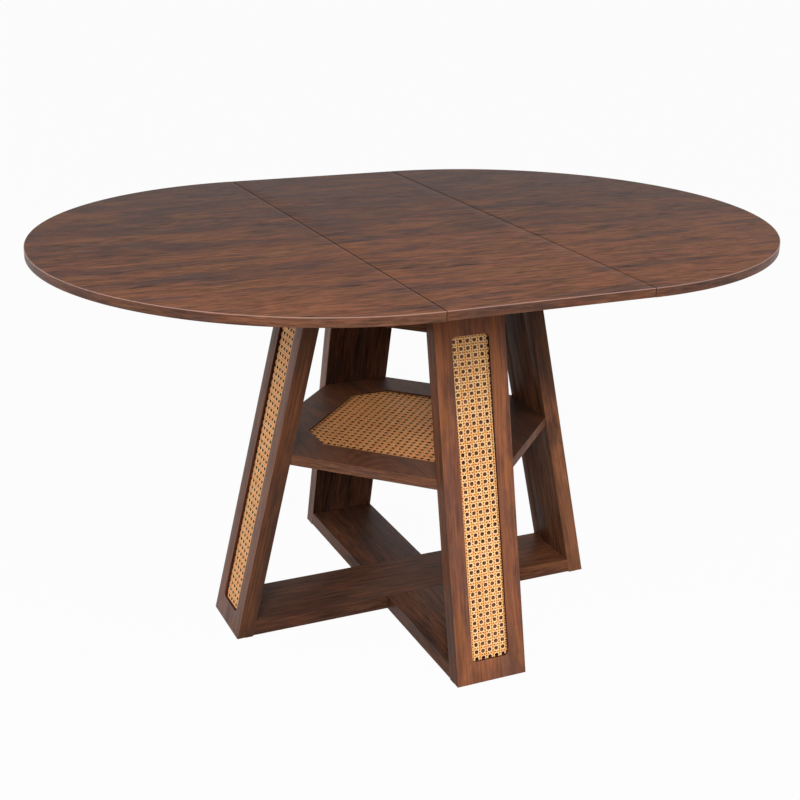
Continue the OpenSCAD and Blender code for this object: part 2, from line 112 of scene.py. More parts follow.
class Finish:
    # A material, or the world, being wired up
    def __init__(self, owner):
        owner.use_nodes = True
        self.owner = owner
        self.tree = owner.node_tree
        self.tree.nodes.clear()

    def node(self, kind, settings, sockets, out=0):
        # Settings are set by name. Sockets take a value or another node's Wire.
        made = self.tree.nodes.new(kind)
        for key, value in settings.items():
            setattr(made, key, value)
        for key, value in sockets.items():
            if isinstance(value, Wire):
                self.tree.links.new(value.socket, made.inputs[key])
            else:
                made.inputs[key].default_value = value
        return Wire(self, made.outputs[out]) if len(made.outputs) else None

    def mix(self, factor, first, second):
        # The colour goes from first to second as the factor goes from 0 to 1
        return self.node("ShaderNodeMix", {"data_type": "RGBA"}, {0: factor, 6: first, 7: second}, out=2)

    def noise(self, place, stretch, detail=3.0, rough=0.5):
        # Noise with so many marks per metre along X, Y and Z
        stretched = self.node("ShaderNodeVectorMath", {"operation": "MULTIPLY"}, {0: place, 1: stretch})
        return self.node("ShaderNodeTexNoise", {}, {"Vector": stretched, "Scale": 1.0, "Detail": detail,
                                                    "Roughness": rough})

    def ramp(self, value, low, high):
        # 0 below low, 1 above high, smooth between
        return self.node("ShaderNodeMapRange", {"interpolation_type": "SMOOTHSTEP"},
                         {"Value": value, "From Min": low, "From Max": high})

    def close(self, tone, rough, height, depth, **constants):
        # Ends a material in one shader. Height and depth, in metres, are its fine relief.
        bump = self.node("ShaderNodeBump", {}, {"Height": height, "Strength": 1.0, "Distance": depth})
        shader = self.node("ShaderNodeBsdfPrincipled", {}, {
            "Base Color": tone, "Roughness": rough, "Normal": bump,
            **{key.replace("_", " "): value for key, value in constants.items()}})
        self.node("ShaderNodeOutputMaterial", {}, {"Surface": shader})
        return self.owner


def newFinish(name):
    return Finish(bpy.data.materials.new(name))


def colour(red, green, blue):
    # A colour picked on a screen, 0 to 255, as linear light
    linear = [c / 255 / 12.92 if c / 255 <= 0.04045 else ((c / 255 + 0.055) / 1.055) ** 2.4
              for c in (red, green, blue)]
    return (*linear, 1.0)


# Marks in walnut: how many there are per metre along and across the grain, their detail and roughness
walnutMarks = {
    "waves": (2.2, 6.0, 2.0, 0.5),       # slow bends of the grain
    "ripples": (12.0, 30.0, 2.0, 0.5),   # and quick ones
    "bands": (1.6, 9.0, 3.0, 0.55),
    "belts": (3.6, 30.0, 2.0, 0.5),
    "mottle": (9.0, 22.0, 3.0, 0.6),
    "patches": (10.0, 32.0, 3.0, 0.6),
    "streaks": (20.0, 85.0, 3.0, 0.6),
    "threads": (16.0, 170.0, 3.0, 0.6),
    "lines": (20.0, 260.0, 3.0, 0.65),
    "hairs": (36.0, 620.0, 2.0, 0.6),
    "pores": (75.0, 1300.0, 1.0, 0.5),
}
walnutLook = {
    "dark": colour(58, 38, 32),
    "mid": colour(108, 69, 51),
    "light": colour(138, 87, 59),
    "grey": colour(84, 62, 55),
    "warm": colour(124, 86, 56),
    "rough": 0.48,
    "specular": 0.08,
    "streaks": 0.5,
    "threads": 0.5,
    "fine": 2.3,         # contrast of the lines
    "hairs": 1.1,
    "mottle": 0.5,       # strength of the warm patches
    "patches": 0.7,      # strength of the grey ones
    "belts": 0.3,        # strength of the long dark belts
    "longer": 1.0,       # length of the finer marks
    "wave": 0.016,       # how far the grain bends, in metres
    "fade": 0.0,         # painted light: how much paler the bands get across the grain, towards the lit side
    "climb": (0.0, 0.0),  # painted light and shade: how much paler the bands get along the grain, and from where
}
# Darker walnut of the legs' inner faces, the aprons and the plate, darkened further as painted shade under
# the table
darkLook = {"dark": colour(44, 27, 20), "mid": colour(88, 55, 40), "light": colour(110, 70, 48),
            "grey": colour(64, 45, 38), "warm": colour(96, 63, 42), "specular": 0.03, "threads": 0.8,
            "longer": 1.8}
# Darker walnut of the legs' narrow sides, as painted shade of those faces
edgeLook = {"dark": colour(50, 32, 26), "mid": colour(86, 54, 39), "light": colour(112, 69, 46),
            "grey": colour(66, 48, 42), "warm": colour(106, 70, 44), "fine": 1.4, "hairs": 0.6,
            "streaks": 0.4, "threads": 0.35, "longer": 2.5}
# Darkest walnut, painted shade: on faces that line the legs' windows and the shelf's opening it stands for
# the shadow in the recess, and behind the webbing for the shade there. It also colours the beads and the
# shelf's panel, which is dark partly as painted shade under its webbing.
liningLook = {"dark": colour(44, 24, 16), "mid": colour(70, 40, 27), "light": colour(84, 48, 32),
              "grey": colour(56, 34, 25), "warm": colour(76, 44, 29), "specular": 0.02}
# Lighter, redder walnut of the front leg's face: painted light on the face the lamps reach most
redLook = {"dark": colour(70, 44, 37), "mid": colour(126, 78, 57), "light": colour(152, 95, 65),
           "warm": colour(148, 93, 58), "grey": colour(98, 68, 60), "fine": 1.3, "hairs": 0.6,
           "streaks": 0.45, "threads": 0.3, "mottle": 0.8, "longer": 2.5, "wave": 0.03}
# Greyer walnut of the left leg's face: a painted sheen, the grey of a glossy reflection at a grazing angle,
# on the wood's colour
greyLook = {"mid": colour(102, 74, 64), "light": colour(122, 86, 72), "warm": colour(112, 82, 64),
            "grey": colour(82, 64, 61), "fine": 1.5, "hairs": 0.8, "streaks": 0.5, "threads": 0.4,
            "belts": 0.6, "specular": 0.12, "longer": 2.5}


def walnut(place, figure=None, arris=None, **changes):
    # Broad soft bands, long dark streaks that come and go, fine fibres and short pores, all drawn out
    # along the grain. The place has u along the grain, v across it and w into the board. Each mark
    # starts where its noise passes the first number of its ramp and is full at the second.
    look = {**walnutLook, **changes}
    f = place.finish

    def marks(kind, where, longer=1.0):
        alongGrain, acrossGrain, detail, rough = walnutMarks[kind]
        return f.noise(where, (alongGrain / longer, acrossGrain, acrossGrain), detail, rough)

    u, v, w = (f.node("ShaderNodeSeparateXYZ", {}, {0: place}, out=i) for i in range(3))
    waves, ripples = marks("waves", place), marks("ripples", place)
    bent = f.node("ShaderNodeCombineXYZ", {}, {
        "X": u, "Y": v + (waves - 0.5) * look["wave"] + (ripples - 0.5) * 0.006, "Z": w})
    climb, middle = look["climb"]
    bands = marks("bands", bent) - v * look["fade"] + (u - middle) * climb
    belts, mottle, patches = (marks(kind, bent) for kind in ("belts", "mottle", "patches"))
    streaks, threads, lines, hairs = (marks(kind, bent, look["longer"])
                                      for kind in ("streaks", "threads", "lines", "hairs"))
    pores = marks("pores", bent)
    shade = f.mix(f.ramp(bands, 0.34, 0.66), look["mid"], look["light"])
    shade = f.mix(f.ramp(mottle, 0.42, 0.66) * look["mottle"], shade, look["warm"])
    shade = f.mix(f.ramp(patches + (bands - 0.5) * -0.4, 0.44, 0.68) * look["patches"], shade, look["grey"])
    shade = f.mix(f.ramp(belts, 0.5, 0.7) * look["belts"], shade, look["grey"])
    streak = f.ramp(streaks, 0.5, 0.75) * f.ramp(patches, 0.36, 0.6)
    thread = f.ramp(threads, 0.5, 0.72) * look["threads"]
    if figure:
        # Cathedral figure: nested arches, where u plus the square of v is the same, near one spot only
        along, across = u - figure["u"], v - figure["v"]
        arch = along + across * across * figure["steep"] + waves * 0.03 + ripples * 0.012
        rings = (arch * (2 * math.pi / figure["spacing"])).calc("SINE")
        near = f.ramp((along * along * 0.5 + across * across) / figure["size"] ** 2, 1.0, 0.2)
        shade = f.mix(f.ramp(rings, 0.3, 1.0) * near * figure["strength"], shade, figure["colour"])
        streak = streak * 0.6 + f.ramp(rings, -0.2, -1.0) * near * 0.5
    shade = f.mix((streak * look["streaks"] + thread).clamped(), shade, look["dark"])
    fine = (lines - 0.5) * look["fine"] + (hairs - 0.5) * look["hairs"] + 1.0 \
        - f.ramp(pores, 0.6, 0.72) * 0.25
    shade = f.node("ShaderNodeVectorMath", {"operation": "SCALE"}, {0: shade, "Scale": fine})
    if arris:
        # Painted highlight along the upper edge: a paler band of colour standing for the gloss on the rounded
        # arris. v is the height within the board
        shade = f.mix(f.ramp(v, arris["from"], arris["to"]) * arris["strength"], shade, arris["colour"])
    rough = (lines - 0.5) * 0.12 + look["rough"] + streak * 0.05
    relief = lines * 0.4 + hairs * 0.4 - f.ramp(pores, 0.58, 0.7)
    return f.close(shade, rough, relief, 0.00012, Specular_IOR_Level=look["specular"])


def boardPlace(f, along, across, shift=(0, 0, 0)):
    # Object coordinates turned so that X runs along the board's grain and Y across its face
    along, across = Vector(along).normalized(), Vector(across).normalized()
    turn = Matrix((along, across, along.cross(across))).to_euler()
    where = f.node("ShaderNodeTexCoord", {}, {}, out=3)
    return f.node("ShaderNodeMapping", {"vector_type": "POINT"},
                  {"Vector": where, "Rotation": turn, "Location": shift})


def boardWood(name, along, across, shift=(0, 0, 0), **changes):
    # Shift takes the board from another place in the log, so that no two look alike
    return walnut(boardPlace(newFinish(name), along, across, shift), **changes)


def bandWood(name, shift=(0, 0, 0), **changes):
    # Edge strip: the grain follows the edge, by the piece's own UV map in metres
    f = newFinish(name)
    where = f.node("ShaderNodeUVMap", {"uv_map": "band"}, {})
    place = f.node("ShaderNodeMapping", {"vector_type": "POINT"}, {"Vector": where, "Location": shift})
    return walnut(place, **changes)


# Plain hardwood of the runners, battens and strips: pale, with faint lines and short flecks
runnerLook = {"light": colour(202, 164, 120), "dark": colour(170, 128, 88), "rough": 0.5, "specular": 0.3}


def runnerWood(name, along, across):
    f = newFinish(name)
    place = boardPlace(f, along, across)
    lines = f.noise(place, (2.0, 90.0, 90.0), 4.0, 0.6)
    flecks = f.noise(place, (90.0, 700.0, 700.0), 2.0)
    tone = f.mix(f.ramp(lines, 0.35, 0.7), runnerLook["light"], runnerLook["dark"])
    tone = f.mix(f.ramp(flecks, 0.6, 0.72) * 0.4, tone, runnerLook["dark"])
    return f.close(tone, (lines - 0.5) * 0.2 + runnerLook["rough"], lines, 0.0001,
                   Specular_IOR_Level=runnerLook["specular"])


# Cane: glossy strands, each a little lighter or darker than the next. They are palest round the holes, and
# burnt orange round the small gaps as painted light, standing for the light that passes from strand to strand
# there.
caneLook = {"pale": colour(255, 216, 156), "honey": colour(246, 163, 85), "burnt": colour(190, 96, 36),
            "rough": 0.42, "specular": 0.15}
# A brighter, redder copy of the cane for the left leg's webbing, as painted light
leftCaneLook = {"pale": colour(255, 212, 156), "honey": colour(255, 168, 96), "burnt": colour(212, 102, 42)}
shelfCaneLook = {"pale": colour(255, 196, 130), "honey": colour(250, 156, 86), "burnt": colour(176, 84, 38)}


def caneFinish(name, **changes):
    look = {**caneLook, **changes}
    f = newFinish(name)
    tone = f.node("ShaderNodeAttribute", {"attribute_name": "tone"}, {}, out=2)
    where = f.node("ShaderNodeUVMap", {"uv_map": "strand"}, {})
    cell = f.node("ShaderNodeUVMap", {"uv_map": "cell"}, {})
    along = f.noise(where, (60.0, 3.0, 1.0), 3.0, 0.6)
    fibres = f.noise(where, (140.0, 34.0, 1.0), 3.0, 0.6)
    side = f.node("ShaderNodeSeparateXYZ", {}, {0: where}, out=1)
    rim = f.ramp((side - 0.5).calc("ABSOLUTE"), 0.16, 0.5)
    # Distances from the nearest hole's middle, in pitches, folded into one eighth of a cell. A small gap
    # lies half a pitch from it one way and 0.19 the other.
    a, b = (f.node("ShaderNodeSeparateXYZ", {}, {0: cell}, out=i).calc("PINGPONG", 0.5) for i in (0, 1))
    far, near = a.calc("MAXIMUM", b), a.calc("MINIMUM", b)
    fromHole = (a * a + b * b) ** 0.5
    fromGap = ((far - 0.5) ** 2.0 + (near - 0.19) ** 2.0) ** 0.5
    # Painted light: burnt orange round each small gap
    glow = f.ramp(fromGap, 0.16, 0.07)
    light = f.ramp(tone * 0.4 + (along - 0.5) * 1.0 + f.ramp(fromHole, 0.48, 0.34) * 0.4, -0.1, 0.6)
    burnt = (f.ramp(fibres, 0.56, 0.72) * 0.3 + rim * 0.08 + glow * 0.8).clamped()
    shade = f.mix(burnt, f.mix(light, look["honey"], look["pale"]), look["burnt"])
    return f.close(shade, (fibres - 0.5) * 0.25 + look["rough"], fibres, 0.00008,
                   Specular_IOR_Level=look["specular"])


# Fine even speckle: the screws' zinc-plated steel and the glides' plastic
steelLook = {"dark": colour(150, 150, 148), "light": colour(196, 196, 192), "perMetre": 900.0, "detail": 3.0,
             "rough": 0.25, "relief": 0.00003, "metallic": 1.0}
glideLook = {"dark": colour(34, 30, 28), "light": colour(56, 50, 46), "perMetre": 600.0, "detail": 4.0,
             "rough": 0.6, "relief": 0.0001, "metallic": 0.0}


def speckleFinish(name, look):
    f = newFinish(name)
    where = f.node("ShaderNodeTexCoord", {}, {}, out=3)
    fine = f.noise(where, (look["perMetre"],) * 3, look["detail"])
    tone = f.mix(fine, look["dark"], look["light"])
    return f.close(tone, fine * 0.2 + look["rough"], fine, look["relief"], Metallic=look["metallic"])


# Meshes
def gridFaces(rings, count):
    # Quads between neighbouring closed rings of count points each, as one array
    ring = np.arange(rings - 1)[:, None] * count
    step = np.arange(count)[None, :]
    after = (step + 1) % count
    return np.stack([ring + step, ring + after, ring + count + after, ring + count + step], -1).reshape(-1, 4)


def placed(name, data):
    # A new object in the scene, at the origin
    made = bpy.data.objects.new(name, data)
    bpy.context.scene.collection.objects.link(made)
    return made


def piece(name, points, faces, body, materials, smooth=True):
    mesh = bpy.data.meshes.new(name)
    mesh.from_pydata(points.tolist(), [], faces)
    made = placed(name, mesh)
    mesh.polygons.foreach_set("use_smooth", np.full(len(mesh.polygons), smooth))
    for material in materials:
        mesh.materials.append(material)
    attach(made, body)
    return made


def setUv(made, name, pointUv):
    # Gives each face corner the UV of its point
    mesh = made.data
    corners = np.empty(len(mesh.loops), int)
    mesh.loops.foreach_get("vertex_index", corners)
    mesh.uv_layers.new(name=name).data.foreach_set("uv", pointUv[corners].ravel())


# Table top: rings of points carried round the outline, from the underside up the edge and over
# its rounded arris, and closed by a flat face above and below
top = {
    "radius": 0.520,
    "high": 0.760,
    "under": 0.744,
    "leafLift": 0.0003,  # the leaf lies this much above the halves' underside
    "leafWidth": 0.372,
    "seamGap": 0.001,
    "arris": 0.0012,     # rounding of the outer upper edge
    "seamArris": 0.0004,  # rounding along the seams
    "lowArris": 0.0006,
    "lowSeamArris": 0.0002,
    "arcSteps": 180,
    "leafSteps": 12,
    "arrisSteps": 5,
    "sharp": math.radians(35),   # edges that turn more than this stay crisp
    "bandShift": 3.0,    # the edge strips of the two sides come from different places in the veneer
    # The top's walnut: paler towards its near side, as painted light
    "look": {"specular": 0.03, "streaks": 0.75, "threads": 0.55, "fine": 2.7, "hairs": 1.4, "fade": 0.55,
             "mottle": 0.7, "patches": 0.75, "belts": 0.7, "dark": colour(51, 34, 30),
             "mid": colour(87, 54, 41), "light": colour(113, 71, 51), "grey": colour(69, 50, 46),
             "warm": colour(104, 69, 46)},
    "bandLook": {"mid": colour(84, 53, 40), "light": colour(104, 65, 46), "grey": colour(68, 49, 43),
                 "warm": colour(92, 64, 44), "streaks": 0.4, "specular": 0.12, "rough": 0.42},
    # Near-black seam faces: painted shadow in the gap between the leaf and the halves
    "seamLook": {"mid": colour(22, 15, 12), "light": colour(28, 18, 14), "grey": colour(20, 14, 12),
                 "warm": colour(24, 16, 12), "dark": colour(14, 10, 8), "specular": 0.0},
    # Painted highlight: a paler band along the top's upper arris, in place of its gloss
    "worn": {"from": 0.7586, "to": 0.7591, "strength": 0.42, "colour": colour(186, 150, 138)},
}


def halfOutline(inset, seamInset, side):
    # Half disc: an arc about the seam's middle, and the straight seam
    seamX = top["leafWidth"] / 2 + top["seamGap"]
    radius = top["radius"] - inset
    start = math.asin(seamInset / radius)
    angle = np.linspace(start - math.pi / 2, math.pi / 2 - start, top["arcSteps"] + 1)
    return np.stack([side * (seamX + radius * np.cos(angle) + (seamInset - radius * math.sin(start))),
                     side * radius * np.sin(angle)], 1)


def leafOutline(inset, seamInset, side):
    # Rectangle, cut into short steps along its two visible ends. Both sides are alike, so side isn't used.
    halfWidth = top["leafWidth"] / 2 - seamInset
    halfLength = top["radius"] - inset
    run = np.linspace(-halfWidth, halfWidth, top["leafSteps"] + 1)
    end = np.full(len(run), halfLength)
    return np.concatenate([np.stack([run, -end], 1), np.stack([-run, end], 1)])


seamShadowMaterial = boardWood("seamEdges", (0, 1, 0), (0, 0, 1), **top["seamLook"])


def topPiece(name, node, body, outline, seams, side, lift):
    # Each ring is the outline drawn in by an inset from the edge and another from the seams, at a
    # height. Seams are the numbers of the outline's steps that run along a seam.
    low = top["under"] + lift
    edge = [(top["lowArris"], top["lowSeamArris"], low), (0.0, 0.0, low + top["lowArris"])]
    for a in np.linspace(0, math.pi / 2, top["arrisSteps"] + 1):
        edge.append((top["arris"] * (1 - math.cos(a)), top["seamArris"] * (1 - math.cos(a)),
                     top["high"] - top["arris"] * (1 - math.sin(a))))
    rings = [outline(inset, seamInset, side) for inset, seamInset, _ in edge]
    count = len(rings[0])
    points = np.concatenate([np.column_stack([ring, np.full(count, z)])
                             for ring, (_, _, z) in zip(rings, edge)])
    faces = gridFaces(len(edge), count).tolist()
    last = (len(edge) - 1) * count
    faces.append(list(range(count))[::-1])
    faces.append(list(range(last, last + count)))
    made = piece(name, points, faces, body, [
        boardWood(name + "Veneer", (1, 0, 0), (0, 1, 0), **top["look"]),
        bandWood(name + "Band", (side * top["bandShift"], 0, 0), arris=top["worn"], **top["bandLook"]),
        seamShadowMaterial])
    reach = np.concatenate([[0.0], np.cumsum(np.hypot(*np.diff(rings[1], axis=0).T))])
    setUv(made, "band", np.column_stack([np.tile(reach, len(edge)), points[:, 2]]))
    polygons = made.data.polygons
    flat = np.zeros(len(polygons), bool)
    flat[-2:] = True   # the underside and the top
    slotOf = np.where(flat, 0, 1).astype(np.int32)
    for seam in seams:
        slotOf[seam:-2:count] = 2
    polygons.foreach_set("material_index", slotOf)
    polygons.foreach_set("use_smooth", ~flat)
    made.data.set_sharp_from_angle(angle=top["sharp"])
    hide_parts(node)


halfSeams, leafSeams = [top["arcSteps"]], [top["leafSteps"], 2 * top["leafSteps"] + 1]
topPiece("leftHalfTop", "left_half_top", "left_half", halfOutline, halfSeams, -1, 0.0)
topPiece("rightHalfTop", "right_half_top", "right_half", halfOutline, halfSeams, 1, 0.0)
topPiece("leafTop", "leaf_panel", "leaf", leafOutline, leafSeams, 1, top["leafLift"])
print("top made")


# Boards with eased edges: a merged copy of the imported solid, whose sharp edges get a small round
easing = {
    "width": 0.0009,
    "thinWidth": 0.0003,           # on the shelf's thin panel
    "segments": 2,
    "sharp": math.radians(40),     # edges that turn more than this are rounded
    "flat": math.radians(0.3),     # triangles that turn less than this become one face
    "merge": 1e-6,
}


def easedBoard(name, node, body, materials, width=easing["width"], pick=None):
    # pick(middles, normals) gives the number of each face's material
    mesh = nodes[node].data.copy()
    shape = bmesh.new()
    shape.from_mesh(mesh)
    bmesh.ops.remove_doubles(shape, verts=shape.verts, dist=easing["merge"])
    bmesh.ops.dissolve_limit(shape, angle_limit=easing["flat"], verts=shape.verts, edges=shape.edges)
    shape.to_mesh(mesh)
    shape.free()
    mesh.name = name
    mesh.materials.clear()
    for material in materials:
        mesh.materials.append(material)
    if pick:
        middles, normals = np.empty(len(mesh.polygons) * 3), np.empty(len(mesh.polygons) * 3)
        mesh.polygons.foreach_get("center", middles)
        mesh.polygons.foreach_get("normal", normals)
        slotOf = pick(middles.reshape(-1, 3), normals.reshape(-1, 3)).astype(np.int32)
        mesh.polygons.foreach_set("material_index", slotOf)
    made = placed(name, mesh)
    mesh.polygons.foreach_set("use_smooth", np.ones(len(mesh.polygons), bool))
    bevel = made.modifiers.new("eased", "BEVEL")
    bevel.width = width
    bevel.segments = easing["segments"]
    bevel.limit_method = "ANGLE"
    bevel.angle_limit = easing["sharp"]
    bevel.harden_normals = True
    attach(made, body)
    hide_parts(node)


def turned(vector, angle):
    return Matrix.Rotation(angle, 3, "Z") @ Vector(vector)


# Legs: a frame board with a long window, the webbing behind its lip and a plain inner board
slope = (-math.sin(base["lean"]), 0, math.cos(base["lean"]))
window = {
    "width": 0.073,
    "low": 0.043,        # height of its lower end over the floor
    "high": 0.620,       # and of its upper end, at the apron's underside
    "lip": 0.006,        # the webbing lies this deep in the window
}
windowLow, windowHigh = (window[end] / math.cos(base["lean"]) for end in ("low", "high"))
# A paler copy of the darkest walnut behind the front leg's webbing: painted light, where the other legs have
# painted shade
paleLining = {**liningLook, "mid": colour(140, 90, 74), "light": colour(158, 102, 82),
              "grey": colour(120, 80, 70), "warm": colour(146, 94, 74)}
# The right leg's narrow sides: paler than the others as painted light, and darker towards the top as painted
# shade under the table top
rightEdge = {**edgeLook, "light": colour(154, 100, 70), "climb": (-1.5, 0.5)}
# The back leg's narrow sides: pale and grey, as painted light and painted sheen on faces the lamps hardly
# reach
backEdge = {**greyLook, "mid": colour(140, 106, 94), "light": colour(166, 122, 104),
            "grey": colour(120, 94, 86)}
# Each leg gets its own lit and shaded copies of the walnut: painted light and shade
legLooks = {   # wood of the wide face, of the narrow sides, behind the webbing and of the inner face
    # The right leg's inner face is darker towards the top: painted shade under the table top
    "right": ({}, rightEdge, liningLook, {**darkLook, "climb": (-0.9, 0.9)}),
    "back": ({}, backEdge, liningLook, darkLook),
    # The left leg: greyer face, a painted sheen, and narrow sides darker towards the floor, as painted shade
    "left": (greyLook, {**edgeLook, "climb": (0.5, 1.75)}, liningLook, darkLook),
    # The front leg: lighter, redder face as painted light, a little darker towards the floor as painted shade
    "front": ({**redLook, "climb": (0.12, 2.3)}, edgeLook, paleLining, darkLook),
}
legGrain = {   # shift of the grain from leg to leg, and of one leg's woods against each other
    "perLeg": (0.7, 0.31, 0.2),
    "FaceWood": (0, 0.05),
    "SideWood": (0.2, 0),
    "LiningWood": (0, 0),
    "HiddenWood": (0, 0),
    "BackWood": (0.4, 0),
}


def leg(number, side, angle):
    along, across = turned(slope, angle), turned((0, 1, 0), angle)
    outward = across.cross(along)
    start = along @ turned((base["legSpan"] / 2, 0, 0), angle)

    def pick(middles, normals):
        # 0 on the outer face, 1 on the long narrow sides, 2 on faces that line the window, square to the
        # leg's face, where the darkest walnut is painted shadow of the recess, and 3 on the inner face
        up = middles @ along - start
        off = np.abs(middles @ across)
        inWindow = (off < window["width"] / 2 + 0.0002) & (up > windowLow - 0.001) & (up < windowHigh + 0.001)
        lining = inWindow & (np.abs(normals @ outward) < 0.5)
        narrow = (np.abs(normals @ across) > 0.7) & (off > 0.05)
        inner = (normals @ outward < -0.7) * 3
        return np.where(lining, 2, np.where(narrow, 1, inner))

    def wood(kind, look):
        shifts = [number * step for step in legGrain["perLeg"]]
        own = legGrain[kind]
        shift = (shifts[0] + own[0], shifts[1] + own[1], shifts[2])
        return boardWood(side + kind, along, across, shift, **look)

    faceLook, sideLook, hiddenLook, innerLook = legLooks[side]
    face, narrow, lining, hidden, inner = (wood(kind, look) for kind, look in (
        ("FaceWood", faceLook), ("SideWood", sideLook), ("LiningWood", liningLook),
        ("HiddenWood", hiddenLook), ("BackWood", innerLook)))
    easedBoard(side + "LegFrame", side + "_leg_frame", "base", [face, narrow, lining, inner],
               pick=pick)
    easedBoard(side + "LegBack", side + "_leg_back", "base", [hidden, narrow, lining, inner],
               pick=pick)


for number, (side, angle) in enumerate(turns.items()):
    leg(number, side, angle)

# The floor arms' walnut, darkened as painted shade under the table; the long arm's is paler, and paler still
# towards its right end, as painted light
armLook = {"dark": colour(40, 26, 21), "mid": colour(78, 48, 35), "light": colour(98, 61, 42),
           "grey": colour(62, 44, 38), "warm": colour(88, 58, 40), "streaks": 0.5, "specular": 0.07,
           "longer": 1.5}
longArmLook = {**armLook, "dark": colour(50, 30, 22), "mid": colour(94, 57, 40), "light": colour(124, 77, 52),
               "grey": colour(74, 50, 40), "warm": colour(108, 70, 46), "climb": (1.0, 0.5)}
armX = boardWood("longArmWood", (1, 0, 0), (0, 1, 0), (0.3, 0.5, 0.1), **longArmLook)
armY = boardWood("shortArmWood", (0, 1, 0), (-1, 0, 0), (0.9, 0.2, 0.4), **armLook)
easedBoard("longFloorArm", "long_floor_arm", "base", [armX])
easedBoard("frontFloorArm", "front_floor_arm", "base", [armY])
easedBoard("backFloorArm", "back_floor_arm", "base", [armY])
print("legs and floor cross made")


# Shelf: a closed profile carried round an octagon whose short sides lean with the legs
shelf = {
    "lip": 0.004,
    "rebate": 0.010,
    "arris": 0.0008,
    "edgeRing": 1,       # the outer edge starts at this ring of the profile
    "liningRing": 5,     # and the lining of the window and the hidden faces at this one, in the darkest walnut as painted shadow
    # Painted highlight: a paler band along the shelf's upper edge, in place of its gloss
    "worn": {"from": 0.3650, "to": 0.3656, "strength": 0.4, "colour": colour(196, 158, 140)},
    "figure": {"u": -0.13, "v": 0.14, "steep": 14.0, "spacing": 0.024, "size": 0.055, "strength": 0.7,
               "colour": colour(130, 77, 47)},
    # The shelf's walnut: paler towards its left, as painted light
    "look": {"mid": colour(86, 52, 37), "light": colour(118, 73, 50), "grey": colour(72, 51, 43),
             "warm": colour(98, 61, 40), "dark": colour(46, 29, 22), "specular": 0.11, "fade": -1.0,
             "streaks": 0.4, "threads": 0.3, "fine": 1.2, "hairs": 0.6},
}


def octagon(half, reach, z):
    # Flats at half on the axes, cut by the lines |x| + |y| = reach, as eight points at height z
    quarter = np.arange(4)[:, None] * math.pi / 2
    side = np.array([-1, 1])[None, :] * (reach - half)
    x = half * np.cos(quarter) - side * np.sin(quarter)
    y = half * np.sin(quarter) + side * np.cos(quarter)
    return np.stack([x.ravel(), y.ravel(), np.full(8, z)], 1)


def shelfBoard():
    high, low = base["shelfTop"], base["shelfTop"] - base["shelfThick"]
    reach = innerFace(high) + base["legWidth"] / 2
    openHalf = innerFace(high) - base["border"]
    openReach = reach - base["border"] * math.sqrt(2)
    e, r = shelf["arris"], shelf["rebate"]
    lipUnder = high - shelf["lip"]
    sides = 8
    rings = [
        octagon(innerFace(low), reach - e, low),
        octagon(innerFace(low + e), reach, low + e),
        octagon(innerFace(high - e), reach, high - e),
        octagon(innerFace(high), reach - e, high),
        octagon(openHalf + e, openReach + e, high),
        octagon(openHalf, openReach, high - e),
        octagon(openHalf, openReach, lipUnder),
        octagon(openHalf + r, openReach + r * math.sqrt(2), lipUnder),
        octagon(openHalf + r, openReach + r * math.sqrt(2), low),
    ]
    points = np.concatenate(rings)
    closing = gridFaces(2, sides)   # from the last ring back to the first
    closing = np.where(closing >= sides, closing - sides, closing + sides * (len(rings) - 1))
    faces = np.concatenate([gridFaces(len(rings), sides), closing])
    made = piece("shelfBoard", points, faces.tolist(), "base", [
        boardWood("shelfWood", (0, 1, 0), (-1, 0, 0), figure=shelf["figure"], **shelf["look"]),
        bandWood("shelfBandWood", (0.4, 0, 0), streaks=0.3, arris=shelf["worn"]),
        boardWood("shelfLiningWood", (0, 1, 0), (-1, 0, 0), **liningLook)], smooth=False)
    reachRound = np.concatenate([[0.0], np.cumsum(np.linalg.norm(np.diff(rings[2], axis=0), axis=1))])
    setUv(made, "band", np.column_stack([np.tile(reachRound, len(rings)), points[:, 2]]))
    ringOf = np.arange(len(faces)) // sides
    slotOf = np.where(ringOf == shelf["edgeRing"], 1, np.where(ringOf >= shelf["liningRing"], 2, 0))
    made.data.polygons.foreach_set("material_index", slotOf.astype(np.int32))
    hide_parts("shelf_board")


shelfBoard()
print("shelf board made")


# Cane webbing. Pairs of strands run both ways between the round holes, and single strands cross them
# both ways at 45 degrees, halfway between neighbouring holes. Each strand is a flat tube.
cane = {
    "pitch": 0.0135,
    "edgeIn": 0.007,     # how far the webbing reaches in under the lip
    "legSteps": 7,       # points along a pair's strand for each pitch
    "shelfSteps": 6,
    "diagonalSteps": 0.75,   # share of that on the diagonals
    "shortest": 0.004,   # shorter ends of strands at the corners are left out
    "seeds": {"front": 3, "left": 5, "right": 7, "back": 9, "shelf": 11, "shelfDiagonals": 13},
    # Strand sizes: middle to middle of a pair, width of a pair's strand and of a diagonal, thickness, how
    # far a pair's strand rises or dips where two pairs cross, how far a diagonal rises over one pair and
    # dips under the other, and how unevenly the strands are laid
    "leg": {"pair": 0.0040, "width": 0.0027, "diagonal": 0.0022, "thick": 0.0004, "lift": 0.0002,
            "ride": 0.0003, "uneven": 0.00012},
    "shelf": {"pair": 0.0030, "width": 0.0025, "diagonal": 0.0018, "thick": 0.0005, "lift": 0.0003,
              "ride": 0.0004, "uneven": 0.0006},
}
section = np.array([(-0.5, -0.12), (-0.3, 0.38), (0.0, 0.5), (0.3, 0.38), (0.5, -0.12), (0.0, -0.5)])


def pairBend(run, pair):
    # Rises and dips once on each side of the middle of a pair crossing, and is level elsewhere
    p = cane["pitch"]
    near = (run / p - np.floor(run / p) - 0.5) * p
    return np.where(np.abs(near) < pair, np.sin(math.pi * near / pair), 0.0)


